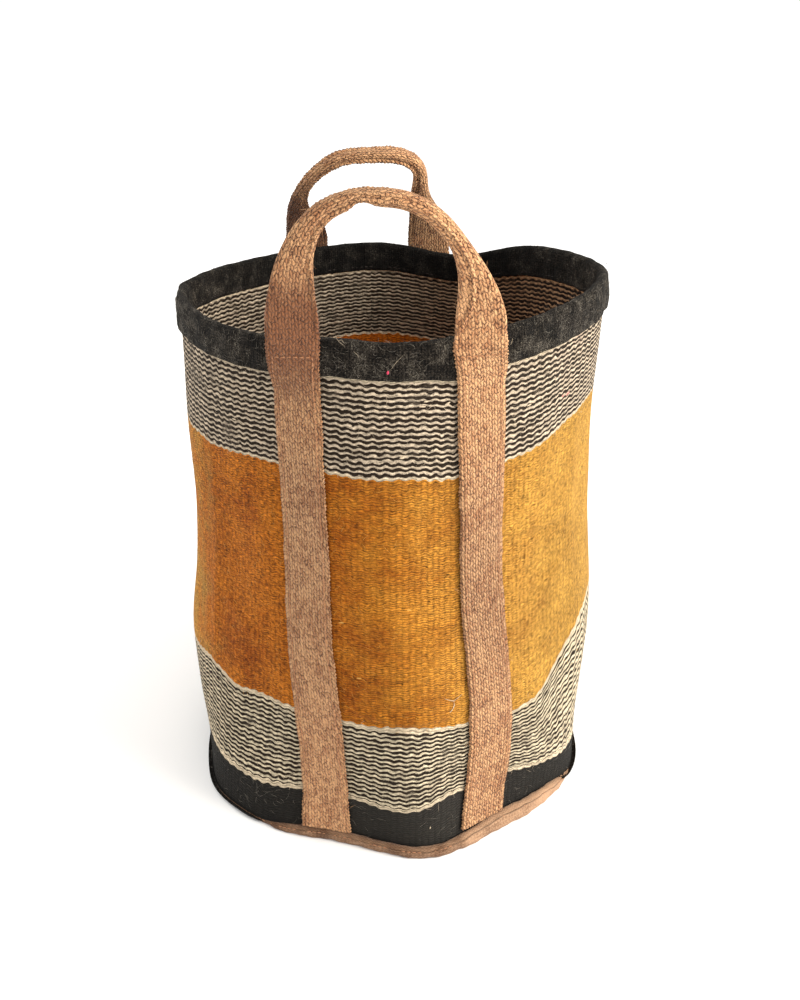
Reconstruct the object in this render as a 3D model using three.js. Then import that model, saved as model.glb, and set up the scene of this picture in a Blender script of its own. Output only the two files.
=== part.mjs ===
// A round storage bag of woven wool: a striped cloth tube on a jute base, a felted band over the rim, and two
// straps of jute webbing, each running up one face of the bag, over the rim as a handle, and down again.
// Millimetres, +Z up, front towards -Y. The origin is the middle of the base, on the floor.
import * as THREE from "three";

// Cloth tube
const bagHeight = 500;
const bagWidth = 400;
const bagDepth = 400;
const clothThickness = 4;
const gap = 0.3;
const bellyHeight = 130;
const waistHeight = 300;

// Plan of the tube at four heights: how much wider and deeper than the bag it is, how square it is (2 is an
// ellipse), how far the panel between two straps stands out, and how far each strap pulls the cloth in
const plans = [
  { height: 0, wider: 0, deeper: 2, squareness: 2.6, bulge: 20, pull: 14 },
  { height: bellyHeight, wider: 16, deeper: 8, squareness: 1.9, bulge: 15, pull: 0 },
  { height: waistHeight, wider: -6, deeper: 8, squareness: 1.8, bulge: 7, pull: 3 },
  { height: bagHeight, wider: 0, deeper: -8, squareness: 1.8, bulge: 0, pull: 0 },
];
const bulgeSpread = 13; // degrees
const pullSpread = 12;

// Unevenness of the rim: right side up and left side down, front up and rear down, both sides up, and one dip
// in the rear
const tiltRise = 10;
const frontRise = 7;
const sideRise = 3.4;
const dipDepth = 17;
const dipAngle = 158;
const dipSpread = 18;

// Felted band over the rim
const bandHeight = 31;
const bandThickness = 2.8;

// Base and the rolled jute edge round it
const baseThickness = 4;
const edgeHeight = 13;
const edgeThickness = 8;

// Webbing straps and their handles: the legs' spacing and offset are taken across the bag at the rim, and
// fullness is the share of the plan's bulge and pull that shows on the strap's own side
const webbingWidth = 43;
const webbingThickness = 4;
const strapGap = 0.9; // between the webbing and the cloth or band that it lies on
const strapTwist = 7; // degrees that the base end of each strap lies round from its rim end
const stepLength = 14; // length over which a strap climbs from the cloth onto the band
const stitchBelowRim = 16;
const foldGap = 1.2; // between the rim and the handle when it lies across the mouth
const frontSpacing = 154;
const rearSpacing = 131;
const frontOffset = -2;
const rearOffset = -24;
const frontLoopHeight = 108;
const rearLoopHeight = 112;
const frontLeftTaper = 120; // height over which the webbing is folded to its grip
const frontRightTaper = 80;
const rearLeftTaper = 80;
const rearRightTaper = 120;
const straps = [
  {
    name: "front",
    side: -1,
    spacing: frontSpacing,
    offset: frontOffset,
    fullness: 1,
    loopHeight: frontLoopHeight,
    lean: 0,
    squareness: { left: 2.9, right: 2 },
    taper: { left: frontLeftTaper, right: frontRightTaper },
  },
  {
    name: "rear",
    side: 1,
    spacing: rearSpacing,
    offset: rearOffset,
    fullness: 0.6,
    loopHeight: rearLoopHeight,
    lean: 28,
    squareness: { left: 3.5, right: 3.1 },
    taper: { left: rearLeftTaper, right: rearRightTaper },
  },
];
const gripHeight = 14.5; // section of the folded webbing at the top of a handle
const gripDepth = 16;

// Sewing thread
const threadThickness = 1.2;
const threadGap = 0.7; // between a thread and the webbing or cloth that it is sewn through
const threadInset = 4; // from the edge of a strap to its stitching
const seamAngle = 187;
const gripSeamHeight = 70; // the grip is sewn shut above this height over the rim

// Mesh steps
const roundSteps = 72;
const tubeRows = 10;
const handleRows = 32;
const angleTries = 20; // each try halves the error of an angle that is found from its x, and more
const shareStep = 0.002; // of a handle's arch, for the direction in which it runs
const ringHub = 100; // radius of the plain ring that a ring round the bag is bent from

const jute = { color: 0xb5825a, roughness: 0.9, metalness: 0 };
const striped = { color: 0xb98a3c, roughness: 0.95, metalness: 0 };
const felt = { color: 0x2c2b2a, roughness: 1, metalness: 0 };
const cotton = { color: 0xc9a27c, roughness: 0.8, metalness: 0 };

const rad = THREE.MathUtils.degToRad;
const smooth = (t) => THREE.MathUtils.smoothstep(t, 0, 1);
const bag = new THREE.Group();

// Levels above the floor at which the tube, the band and the straps all have a row of points
const bandLevel = bagHeight - bandHeight;
const stepLevel = bandLevel - stepLength;
const edgeLevel = edgeHeight + gap;
const bandLevels = [bandLevel, bagHeight - bandHeight / 2, bagHeight - bandThickness - gap];
const loopLevel = bagHeight + foldGap - gap;
const clothLevels = Array.from({ length: tubeRows + 1 }, (_, i) =>
  THREE.MathUtils.lerp(edgeLevel, stepLevel, i / tubeRows),
);

function turnBetween(a, b) {
  return THREE.MathUtils.euclideanModulo(a - b + 180, 360) - 180;
}

function mound(angle, middle, spread) {
  return Math.exp(-((turnBetween(angle, middle) / spread) ** 2));
}

function planAt(height, key) {
  const above = plans.findIndex((plan) => plan.height >= height);
  const high = plans[Math.max(above, 1)];
  const low = plans[Math.max(above, 1) - 1];
  const share = smooth((height - low.height) / (high.height - low.height));
  return THREE.MathUtils.lerp(low[key], high[key], share);
}

function planRadius(angle, height) {
  const power = planAt(height, "squareness");
  const halfWidth = (bagWidth + planAt(height, "wider")) / 2;
  const halfDepth = (bagDepth + planAt(height, "deeper")) / 2;
  const across = Math.abs(Math.sin(rad(angle)) / halfWidth) ** power;
  const along = Math.abs(Math.cos(rad(angle)) / halfDepth) ** power;
  return (across + along) ** (-1 / power);
}

// Angle at which the rim has this x, on the front (side -1) or the rear (side 1)
function rimAngle(x, side) {
  let angle = 0;
  for (let i = 0; i < angleTries; i++) {
    angle = THREE.MathUtils.radToDeg(Math.asin(x / planRadius(side < 0 ? angle : 180 - angle, bagHeight)));
  }
  return side < 0 ? angle : 180 - angle;
}

for (const strap of straps) {
  strap.legs = [-1, 1].map((hand) => {
    const x = strap.offset + (hand * strap.spacing) / 2;
    return { name: hand < 0 ? "left" : "right", x, angle: rimAngle(x, strap.side) };
  });
}

function legAngle(leg, height) {
  return leg.angle + strapTwist * (1 - height / bagHeight);
}

function rimRise(angle) {
  const turn = rad(angle);
  const tilt = tiltRise * Math.sin(turn) + frontRise * Math.cos(turn) - sideRise * Math.cos(2 * turn);
  return tilt - dipDepth * mound(angle, dipAngle, dipSpread);
}

// A point of the cloth's outer face, or "out" millimetres outside it
function skin(angle, level, out) {
  const height = THREE.MathUtils.clamp(level, 0, bagHeight);
  let radius = planRadius(angle, height);
  for (const { legs, fullness } of straps) {
    const [left, right] = legs.map((leg) => legAngle(leg, height));
    const middle = left + turnBetween(right, left) / 2;
    const bulge = planAt(height, "bulge") * mound(angle, middle, bulgeSpread);
    const pull = planAt(height, "pull") * (mound(angle, left, pullSpread) + mound(angle, right, pullSpread));
    radius += fullness * (bulge - pull);
  }
  const share = height / bagHeight;
  return new THREE.Vector3(
    (radius + out) * Math.sin(rad(angle)),
    -(radius + out) * Math.cos(rad(angle)),
    level + rimRise(angle) * share * share,
  );
}

function add(name, geometry, look, group = bag) {
  const mesh = new THREE.Mesh(geometry, new THREE.MeshStandardMaterial(look));
  mesh.name = name;
  group.add(mesh);
}

function reshape(geometry, place) {
  const points = geometry.attributes.position;
  const point = new THREE.Vector3();
  for (let i = 0; i < points.count; i++) {
    point.fromBufferAttribute(points, i);
    points.setXYZ(i, ...place(point).toArray());
  }
  return geometry;
}

// A ring round the bag, from a closed profile of [out, level] points in counter-clockwise order
function ring(profile) {
  const points = [...profile, profile[0]].map(([out, level]) => new THREE.Vector2(ringHub + out, level));
  return reshape(new THREE.LatheGeometry(points, roundSteps), (p) =>
    skin(THREE.MathUtils.radToDeg(Math.atan2(p.x, p.z)), p.y, Math.hypot(p.x, p.z) - ringHub),
  );
}

function wovenBody() {
  const levels = [baseThickness + gap, ...clothLevels, ...bandLevels];
  const outside = levels.map((level) => [0, level]);
  const inside = levels.map((level) => [-clothThickness, level]).reverse();
  add("woven_body", ring([...outside, ...inside]), striped);
}

function rimBinding() {
  const outer = gap + bandThickness;
  const inner = -clothThickness - gap - bandThickness;
  const crown = bandThickness / 2;
  const [low, half] = bandLevels;
  const high = bagHeight - bandThickness;
  const wall = (out, levels) => levels.map((level) => [out, level]);
  const profile = [
    ...wall(outer, [low, half, high]),
    [outer - crown, bagHeight],
    [inner + crown, bagHeight],
    ...wall(inner, [high, half, low]),
    ...wall(inner + bandThickness, [low, half, high]),
    ...wall(gap, [high, half, low]),
  ];
  add("rim_binding", ring(profile), felt);
}

function baseDisc() {
  const corners = [
    [0, 0],
    [1, 0],
    [1, baseThickness],
    [0, baseThickness],
  ];
  const lathe = new THREE.LatheGeometry(
    corners.map(([share, level]) => new THREE.Vector2(share, level)),
    roundSteps,
  );
  const geometry = reshape(lathe, (p) => {
    const point = skin(THREE.MathUtils.radToDeg(Math.atan2(p.x, p.z)), 0, 0);
    return point.multiplyScalar(Math.hypot(p.x, p.z)).setZ(p.y);
  });
  add("base_disc", geometry, jute);
}

function baseBinding() {
  const roll = edgeThickness / 4;
  const profile = [
    [gap, 0],
    [gap + edgeThickness - roll, 0],
    [gap + edgeThickness, roll],
    [gap + edgeThickness, edgeHeight - 2 * roll],
    [gap + edgeThickness - 2 * roll, edgeHeight],
    [gap, edgeHeight],
  ];
  add("base_binding", ring(profile), jute);
}

// A handle stands on the chord between its two legs at the rim: which way the chord runs, which way is out
// from it, where each leg crosses it, how far out the webbing just clears the band, and the height of the
// fold over which the handle turns, clear of the rim by the webbing's own thickness
for (const strap of straps) {
  const [left, right] = strap.legs.map((leg) => skin(leg.angle, bagHeight, 0).setZ(0));
  strap.along = right.clone().sub(left).normalize();
  strap.outward = new THREE.Vector3(strap.along.y, -strap.along.x, 0).multiplyScalar(-strap.side);
  for (const leg of strap.legs) {
    leg.station = skin(leg.angle, bagHeight, 0).dot(strap.along);
  }
  const edges = strap.legs.flatMap((leg) =>
    [-0.5, -0.25, 0, 0.25, 0.5].map((share) => {
      const angle = rimAngle(leg.x + share * webbingWidth, strap.side);
      return skin(angle, bagHeight, gap + bandThickness + strapGap);
    }),
  );
  strap.reach = Math.max(...edges.map((edge) => edge.dot(strap.outward))) + gap;
  strap.rise = Math.max(...edges.map((edge) => edge.z)) - bagHeight;
  strap.foldHeight = loopLevel + strap.rise + gap + webbingThickness;
}

// A point on a leg: across its width, out from the face that lies on the bag, at a level above the floor
function legPoint(strap, leg, across, out, level) {
  const height = Math.min(level, bagHeight);
  const radius = planRadius(legAngle(leg, height), height);
  const angle = legAngle(leg, height) - strap.side * THREE.MathUtils.radToDeg(across / radius);
  const step = (gap + bandThickness) * smooth((level - stepLevel) / stepLength);
  const point = skin(angle, height, strapGap + step + out);
  const free = smooth((level - stepLevel) / (loopLevel - stepLevel));
  const flat = new THREE.Vector3(0, 0, level + strap.rise * (level / loopLevel) ** 2)
    .addScaledVector(strap.along, leg.station + across)
    .addScaledVector(strap.outward, strap.reach + out);
  return point.lerp(flat, free);
}

function strapLeg(strap, leg) {
  const levels = [...clothLevels, ...bandLevels, loopLevel];
  const rows = levels.length - 1;
  const box = new THREE.BoxGeometry(webbingWidth, webbingThickness, rows, 4, 1, rows);
  const geometry = reshape(box, (p) => {
    const out = webbingThickness / 2 + strap.side * p.y;
    return legPoint(strap, leg, p.x, out, levels[Math.round(p.z + rows / 2)]);
  });
  add(`${strap.name}_strap_${leg.name}_leg`, geometry, jute);
}

// Runs up one edge of a leg, across at the rim and down the other edge, as one seam
function legThread(strap, leg) {
  const reach = webbingWidth / 2 - threadInset;
  const top = bagHeight - stitchBelowRim;
  const out = webbingThickness + threadGap + threadThickness / 2;
  const levels = [edgeLevel + threadInset, ...clothLevels.slice(1), bandLevel, top - threadInset];
  const up = levels.map((level) => [-reach, level]);
  const over = [-1, 0, 1].map((hand) => [hand * (reach - threadInset), top]);
  const down = levels.map((level) => [reach, level]).reverse();
  const points = [...up, ...over, ...down].map(([across, level]) => legPoint(strap, leg, across, out, level));
  add(`${strap.name}_${leg.name}_leg_thread`, tube(points), cotton);
}

// A path of straight pieces, which has a section at each of its points and nowhere else
class Route extends THREE.Curve {
  constructor(points) {
    super();
    this.points = points;
  }
  getPoint(share) {
    const last = this.points.length - 1;
    const before = Math.min(Math.floor(share * last), last - 1);
    return this.points[before].clone().lerp(this.points[before + 1], share * last - before);
  }
  getPointAt(share) {
    return this.getPoint(share);
  }
  getTangentAt(share) {
    return this.getTangent(share);
  }
}

function tube(points) {
  const half = threadThickness / 2;
  const section = new THREE.Shape([
    new THREE.Vector2(-half, 0),
    new THREE.Vector2(0, -half),
    new THREE.Vector2(half, 0),
    new THREE.Vector2(0, half),
  ]);
  return new THREE.ExtrudeGeometry(section, { steps: points.length - 1, extrudePath: new Route(points) });
}

// Half-way line of a handle: share 0 at the left leg's fold and 1 at the right one's, in the loop's own plane
function archPoint(strap, share) {
  const half = (strap.legs[1].station - strap.legs[0].station) / 2;
  const hand = share < 0.5 ? "left" : "right";
  const power = 2 / strap.squareness[hand];
  const turn = Math.PI * share;
  return new THREE.Vector2(
    -Math.sign(Math.cos(turn)) * half * Math.abs(Math.cos(turn)) ** power,
    strap.loopHeight * Math.sin(turn) ** power,
  );
}

// The handle's section at one share of the arch: its middle, the way out from the arch, its height and depth
function archSection(strap, share) {
  const middle = archPoint(strap, share);
  const before = archPoint(strap, Math.max(share - shareStep, 0));
  const after = archPoint(strap, Math.min(share + shareStep, 1));
  const along = after.sub(before).normalize();
  const folded = smooth(middle.y / strap.taper[share < 0.5 ? "left" : "right"]);
  return {
    middle,
    outward: new THREE.Vector2(-along.y, along.x),
    height: THREE.MathUtils.lerp(webbingWidth, gripHeight, folded),
    depth: THREE.MathUtils.lerp(webbingThickness, gripDepth, folded),
    folded,
  };
}

// The group that turns about the fold, with X along the fold and Z up the loop
function handleGroup(strap) {
  const group = new THREE.Group();
  group.position
    .set(0, 0, strap.foldHeight)
    .addScaledVector(strap.along, (strap.legs[0].station + strap.legs[1].station) / 2)
    .addScaledVector(strap.outward, strap.reach + webbingThickness);
  const yaw = Math.atan2(strap.along.y, strap.along.x);
  group.rotation.set(strap.side * rad(strap.lean), 0, yaw, "ZYX");
  bag.add(group);
  return group;
}

function handle(strap, group) {
  const box = new THREE.BoxGeometry(2, 2, 1, 3, 3, handleRows);
  const geometry = reshape(box, (p) => {
    const share = 0.5 - p.z;
    const { middle, outward, height, depth, folded } = archSection(strap, share);
    const wide = p.x * Math.sqrt(1 - (folded * p.y * p.y) / 2);
    const thick = -strap.side * p.y * Math.sqrt(1 - (folded * p.x * p.x) / 2);
    const x = middle.x + (outward.x * wide * height) / 2;
    let z = middle.y + (outward.y * wide * height) / 2;
    const inward = webbingThickness / 2 + (thick * depth) / 2;
    if (share === 0 || share === 1) {
      z = -Math.sqrt(Math.max(webbingThickness ** 2 - inward ** 2, 0));
    }
    return new THREE.Vector3(x, -strap.side * inward, z);
  });
  add(`${strap.name}_handle`, geometry, jute, group);
}

// The seam that holds the folded grip shut, under the arch
function gripThread(strap, group) {
  const shares = [];
  for (let share = 0; share <= 1; share += 1 / handleRows) {
    if (archPoint(strap, share).y >= gripSeamHeight) {
      shares.push(share);
    }
  }
  const points = shares.map((share) => {
    const { middle, outward, height } = archSection(strap, share);
    const drop = -(height / 2 + threadGap + threadThickness / 2);
    return new THREE.Vector3(
      middle.x + outward.x * drop,
      (-strap.side * webbingThickness) / 2,
      middle.y + outward.y * drop,
    );
  });
  add(`${strap.name}_grip_thread`, tube(points), cotton, group);
}

// A thread laid round the bag on a face "out" millimetres from the cloth
function roundThread(name, out, level, inside) {
  const near = out + (inside ? -gap - threadThickness : gap);
  const profile = [
    [near, level],
    [near + threadThickness / 2, level - threadThickness / 2],
    [near + threadThickness, level],
    [near + threadThickness / 2, level + threadThickness / 2],
  ];
  add(name, ring(profile), cotton);
}

function sideSeam() {
  const levels = [edgeLevel + threadThickness, ...clothLevels.slice(1), bandLevel - threadThickness];
  const points = levels.map((level) => skin(seamAngle, level, threadGap + threadThickness / 2));
  add("side_seam_thread", tube(points), cotton);
}

wovenBody();
rimBinding();
baseDisc();
baseBinding();
for (const strap of straps) {
  for (const leg of strap.legs) {
    strapLeg(strap, leg);
    legThread(strap, leg);
  }
  const group = handleGroup(strap);
  handle(strap, group);
  gripThread(strap, group);
}
sideSeam();
roundThread("rim_hem_thread", -clothThickness - gap - bandThickness, bandLevel + threadInset, true);
roundThread("base_seam_thread", gap + edgeThickness, edgeHeight / 2, false);

export default bag;
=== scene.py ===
"""A round storage bag of striped wool on a jute base, with a felted rim and two jute straps.

Metres and degrees. An angle round the bag is 0 at the front and grows towards the bag's right side as it is
seen from the front. A level is measured up the cloth from the floor.
"""

import math
import random
from types import SimpleNamespace

import bmesh
import bpy
import numpy as np
from mathutils import Matrix, Vector


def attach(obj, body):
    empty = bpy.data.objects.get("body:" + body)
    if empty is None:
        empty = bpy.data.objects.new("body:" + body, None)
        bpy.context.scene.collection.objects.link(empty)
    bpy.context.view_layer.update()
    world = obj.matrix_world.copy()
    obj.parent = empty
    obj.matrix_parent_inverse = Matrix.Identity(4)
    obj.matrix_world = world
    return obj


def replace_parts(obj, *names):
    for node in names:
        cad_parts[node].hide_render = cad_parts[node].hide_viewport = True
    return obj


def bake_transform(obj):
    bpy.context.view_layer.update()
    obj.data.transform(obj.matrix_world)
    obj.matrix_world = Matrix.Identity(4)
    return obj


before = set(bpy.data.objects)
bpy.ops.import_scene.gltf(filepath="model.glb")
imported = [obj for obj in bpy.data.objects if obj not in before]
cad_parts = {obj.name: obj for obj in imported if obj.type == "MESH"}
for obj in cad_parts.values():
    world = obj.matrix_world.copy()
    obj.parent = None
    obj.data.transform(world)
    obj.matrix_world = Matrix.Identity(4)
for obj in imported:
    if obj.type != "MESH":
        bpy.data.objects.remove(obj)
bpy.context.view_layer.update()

# Cloth tube
BAG_HEIGHT = 0.5
BAG_WIDTH = 0.4
BAG_DEPTH = 0.4
CLOTH = 0.004
GAP = 0.0003
GIRTH = 1.26
BELLY_HEIGHT = 0.13
WAIST_HEIGHT = 0.3

# Plan of the tube at four heights: how much wider and deeper than the bag it is, how square it is, how far
# the panel between two straps stands out, and how far each strap pulls the cloth in
PLAN_HEIGHTS = (0, BELLY_HEIGHT, WAIST_HEIGHT, BAG_HEIGHT)
PLANS = {
    "wider": (0, 0.016, -0.006, 0),
    "deeper": (0.002, 0.008, 0.008, -0.008),
    "squareness": (2.6, 1.9, 1.8, 1.8),
    "bulge": (0.02, 0.015, 0.007, 0),
    "pull": (0.014, 0, 0.003, 0),
}
BULGE_SPREAD = 13
PULL_SPREAD = 12

# Unevenness of the rim
RIM_TILT = 0.01
FRONT_RISE = 0.007
SIDE_RISE = 0.0034
DIP_DEPTH = 0.017
DIP_ANGLE = 158
DIP_SPREAD = 18

# Felted band over the rim, the base and the rolled jute edge round it
BAND_HEIGHT = 0.031
BAND = 0.0028
BASE = 0.004
EDGE_HEIGHT = 0.013
EDGE = 0.008
EDGE_TUCKS = ((-76, 47), (98, 42))  # where the edge is tucked under the cloth: angle, spread
EDGE_TUCK = 0.0110
TUCKED_FLAT = 0.7  # share of its height that it loses there
EDGE_FULLNESS = 0.8  # share of the height above that the edge keeps where it is pressed flat
EDGE_SWELL = (36, 18, 0.55)  # where it stands taller: angle, spread, share of its height
EDGE_FLARE = (36, 16, 0.003)  # where its foot spreads out: angle, spread, depth
EDGE_POWER = 0.67  # how square its section is
EDGE_TAPE = 0.036  # width of the tape that is rolled
EDGE_LAP = (17, 0.7, 14, 0.0012)  # where the tape ends over its start: angle, step, reach, thickness

# Webbing straps
WEBBING_WIDTH = 0.043
WEBBING = 0.004
STRAP_GAP = 0.0009
STRAP_TWIST = 7
STEP_LENGTH = 0.014
STITCH_BELOW_RIM = 0.016
FOLD_GAP = 0.0012
FAN_LEVEL = 0.25  # below this level a leg may grow wider
LEG_WAVES = ((41, 50, 0.014), (109, 0, 0.012), (233, 0, 0.010))  # of a leg's width: waves, start, share
GRIP_HEIGHT = 0.0145
GRIP_DEPTH = 0.016

# Pairs are of the left and the right leg. Lean is the handle's, in degrees, and sway is how far its top lies
# aside. Fullness is the share of the cloth's bulge and pull at the strap. Drift is where a leg wanders, as
# angle, level and spread, and fan is how much wider it is at its foot, as a share.
STRAPS = {
    "front": dict(
        side=-1, spacing=0.154, offset=-0.002, fullness=1, loop=0.1078, lean=0,
        squareness=(2.9, 2.0), taper=(0.12, 0.08), grip=(1, 1), pinch=0.42, sway=0,
        drift=(((-1.1, 0.23, 0.07),), ((-1.7, 0.27, 0.11), (-5.2, 0.0, 0.075))), fan=(0.06, 0.13),
    ),
    "rear": dict(
        side=1, spacing=0.131, offset=-0.024, fullness=0.6, loop=0.112, lean=28,
        squareness=(3.5, 3.1), taper=(0.08, 0.08), grip=(0.58, 1.15), pinch=0, sway=-0.0110,
        drift=((), ()), fan=(0, 0),
    ),
}

# Sewing thread
THREAD = 0.0012
THREAD_INSET = 0.004
STITCH = 0.0034
STITCH_PITCH = 0.0052
STITCH_RADIUS = 0.0005
THREAD_LIFT = 0.0001  # of a leg's stitches off the webbing
SEAM_ANGLE = 187
GRIP_SEAM_HEIGHT = 0.07

BAND_LEVEL = BAG_HEIGHT - BAND_HEIGHT
STEP_LEVEL = BAND_LEVEL - STEP_LENGTH
EDGE_LEVEL = EDGE_HEIGHT + GAP
LOOP_LEVEL = BAG_HEIGHT + FOLD_GAP - GAP


def smooth(share):
    share = np.clip(share, 0, 1)
    return share * share * (3 - 2 * share)


def mix(low, high, share):
    return low + (high - low) * share


def turn_between(a, b):
    return (a - b + 180) % 360 - 180


def mound(angle, middle, spread):
    return np.exp(-((turn_between(angle, middle) / spread) ** 2))


def plan_at(height, key):
    """One value of the plan at a height, eased between the four heights that are given"""
    value = np.full_like(np.asarray(height, float), PLANS[key][0])
    for i in range(1, len(PLAN_HEIGHTS)):
        share = (height - PLAN_HEIGHTS[i - 1]) / (PLAN_HEIGHTS[i] - PLAN_HEIGHTS[i - 1])
        value = value + (PLANS[key][i] - PLANS[key][i - 1]) * smooth(share)
    return value


def plan_radius(angle, height):
    power = plan_at(height, "squareness")
    across = np.abs(np.sin(np.radians(angle)) / ((BAG_WIDTH + plan_at(height, "wider")) / 2)) ** power
    along = np.abs(np.cos(np.radians(angle)) / ((BAG_DEPTH + plan_at(height, "deeper")) / 2)) ** power
    return (across + along) ** (-1 / power)


def rim_angle(x, side):
    """Angle at which the rim has this x, on the front (side -1) or the rear (side 1)"""
    angle = 0.0
    for _ in range(20):
        radius = plan_radius(angle if side < 0 else 180 - angle, BAG_HEIGHT)
        angle = math.degrees(math.asin(x / float(radius)))
    return angle if side < 0 else 180 - angle


def place_legs(strap):
    strap["legs"] = []
    for hand, drift, fan in zip((-1, 1), strap["drift"], strap["fan"]):
        x = strap["offset"] + hand * strap["spacing"] / 2
        angle = rim_angle(x, strap["side"])
        strap["legs"].append(dict(hand=hand, x=x, angle=angle, drift=drift, fan=fan))


for strap in STRAPS.values():
    place_legs(strap)


def leg_angle(leg, height):
    return leg["angle"] + STRAP_TWIST * (1 - height / BAG_HEIGHT)


def rim_rise(angle):
    turn = np.radians(angle)
    tilt = RIM_TILT * np.sin(turn) + FRONT_RISE * np.cos(turn) - SIDE_RISE * np.cos(2 * turn)
    return tilt - DIP_DEPTH * mound(angle, DIP_ANGLE, DIP_SPREAD) + RIM_LIFT[2] * mound(angle, *RIM_LIFT[:2])


# Soft unevenness that the cloth has and its plain form has not
CREASES = ((-59, 0.0026, 5), (62, 0.0022, 5))  # angle, how far it stands out, spread
RIM_CORNERS = ((-97, 0.0042, 7), (84, 0.003, 8))
RIPPLES = ((4, 7.0, 0.3, 0.0012), (7, -11.0, 1.7, 0.0010), (12, 17.0, 4.1, 0.0007), (19, -26.0, 2.6, 0.0004))
WRINKLES = ((-66, 0.185), (-60, 0.2), (-71, 0.21), (68, 0.14))  # angle and level of short upright wrinkles
WRINKLE = 0.0011
WRINKLE_SPREAD = (1.9, 0.045)
TUCKS = ((3, 0.146, 0.0030), (-48, 0.35, 0.0014), (50, 0.30, 0.0016))  # angle, level, depth
TUCK_SPREAD = (11, 0.005)
FOLDS = (  # soft slanting folds: angle, level, slant in metres per degree, reach in degrees, width, depth
    (-3, 0.247, -0.0018, 13, 0.011, 0.0016),
    (1, 0.300, -0.0009, 10, 0.009, 0.0009),
    (-50, 0.215, -0.0016, 12, 0.010, 0.0014),
    (52, 0.245, 0.0022, 10, 0.009, 0.0012),
)
RIM_LIFT = (-15, 13, 0.0055)  # where the rim stands higher: angle, spread, rise
HEM_DROP = (20, 8, 0.0060)  # where the band reaches lower
SWELLS = (  # where the cloth stands out, or lies in: angle, spread, level, spread of level, depth
    (-92, 34, 0.365, 0.065, 0.0035),
    (90, 34, 0.375, 0.070, -0.0045),
    (-88, 30, 0.205, 0.050, -0.0035),
    (88, 24, 0.045, 0.060, -0.0075),
    (48, 11, 0.0, 0.045, -0.0115),
    (-76, 26, 0.025, 0.045, -0.0050),
    (-98, 16, 0.020, 0.045, -0.0040),
    (98, 16, 0.020, 0.045, -0.0040),
    (-55, 10, 0.0, 0.030, 0.0050),
    (-28, 13, 0.0, 0.045, 0.0060),
    (-14, 11, 0.0, 0.045, 0.0095),
    (24, 12, 0.0, 0.045, 0.0085),
    (10, 7, 0.0, 0.045, 0.0025),
)
SAGS = ((-76, 47), (97, 50))  # where the foot of the cloth hangs down over the jute edge: angle, spread
SAG_DROP = 0.013


def plateau(angle, middle, spread, power=4):
    return np.exp(-((turn_between(angle, middle) / spread) ** power))


def crest(angle, middle, spread):
    return np.exp(-np.abs(turn_between(angle, middle)) / spread)


def slump(angle, height):
    """How far the cloth stands out from its plan: ripples, wrinkles, fold lines and the corners of the rim"""
    turn = np.radians(angle)
    out = sum(depth * np.sin(count * turn + climb * height + start) for count, climb, start, depth in RIPPLES)
    out = out * smooth(height / 0.08) * (1 - 0.5 * smooth((height - 0.42) / 0.06))
    for middle, depth, spread in CREASES:
        share = smooth((height - 0.05) / 0.1) * (1 - smooth((height - 0.4) / 0.08))
        out = out + depth * share * crest(angle, middle, spread)
    for middle, depth, spread in RIM_CORNERS:
        out = out + depth * smooth((height - 0.33) / 0.15) * crest(angle, middle, spread)
    for middle, level in WRINKLES:
        along = np.exp(-(((height - level) / WRINKLE_SPREAD[1]) ** 2))
        out = out + WRINKLE * along * mound(angle, middle, WRINKLE_SPREAD[0])
    for middle, level, depth in TUCKS:
        step = (height - level + 0.0002 * turn_between(angle, middle)) / TUCK_SPREAD[1]
        out = out + depth * mound(angle, middle, TUCK_SPREAD[0]) * 2.3 * step * np.exp(-step * step)
    for middle, level, slant, reach, width, depth in FOLDS:
        off = (height - level - slant * turn_between(angle, middle)) / width
        out = out + depth * mound(angle, middle, reach) * np.exp(-off * off)
    for middle, spread, level, reach, depth in SWELLS:
        out = out + depth * mound(angle, middle, spread) * np.exp(-(((height - level) / reach) ** 2))
    return out


def sag(angle, level):
    """How far the foot of the cloth hangs down over the jute edge, at the left and the right"""
    share = sum(plateau(angle, middle, spread, 8) for middle, spread in SAGS)
    return SAG_DROP * share * smooth((level - 0.004) / 0.014) * (1 - smooth((level - 0.018) / 0.045))


def edge_tuck(angle):
    return sum(plateau(angle, middle, spread, 8) for middle, spread in EDGE_TUCKS)


def edge_height(angle):
    middle, spread, share = EDGE_SWELL
    full = EDGE_FULLNESS + share * mound(angle, middle, spread)
    return EDGE_HEIGHT * full * (1 - TUCKED_FLAT * edge_tuck(angle))


def edge_reach(angle):
    """How far the jute edge stands out from the cloth"""
    return EDGE - EDGE_TUCK * edge_tuck(angle)


def skin(angle, level, out=0.0):
    """A point of the cloth's outer face, or "out" metres outside it"""
    angle, level = np.broadcast_arrays(np.asarray(angle, float), np.asarray(level, float))
    height = np.clip(level, 0, BAG_HEIGHT)
    radius = plan_radius(angle, height)
    for strap in STRAPS.values():
        left, right = (leg_angle(leg, height) for leg in strap["legs"])
        middle = left + turn_between(right, left) / 2
        bulge = plan_at(height, "bulge") * mound(angle, middle, BULGE_SPREAD)
        pull = plan_at(height, "pull") * (mound(angle, left, PULL_SPREAD) + mound(angle, right, PULL_SPREAD))
        radius = radius + strap["fullness"] * (bulge - pull)
    radius = radius + slump(angle, height) + out
    share = height / BAG_HEIGHT
    turn = np.radians(angle)
    return np.stack(
        [radius * np.sin(turn), -radius * np.cos(turn), level + rim_rise(angle) * share * share], axis=-1
    )


def unit(vectors):
    return vectors / np.linalg.norm(vectors, axis=-1, keepdims=True)


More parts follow.
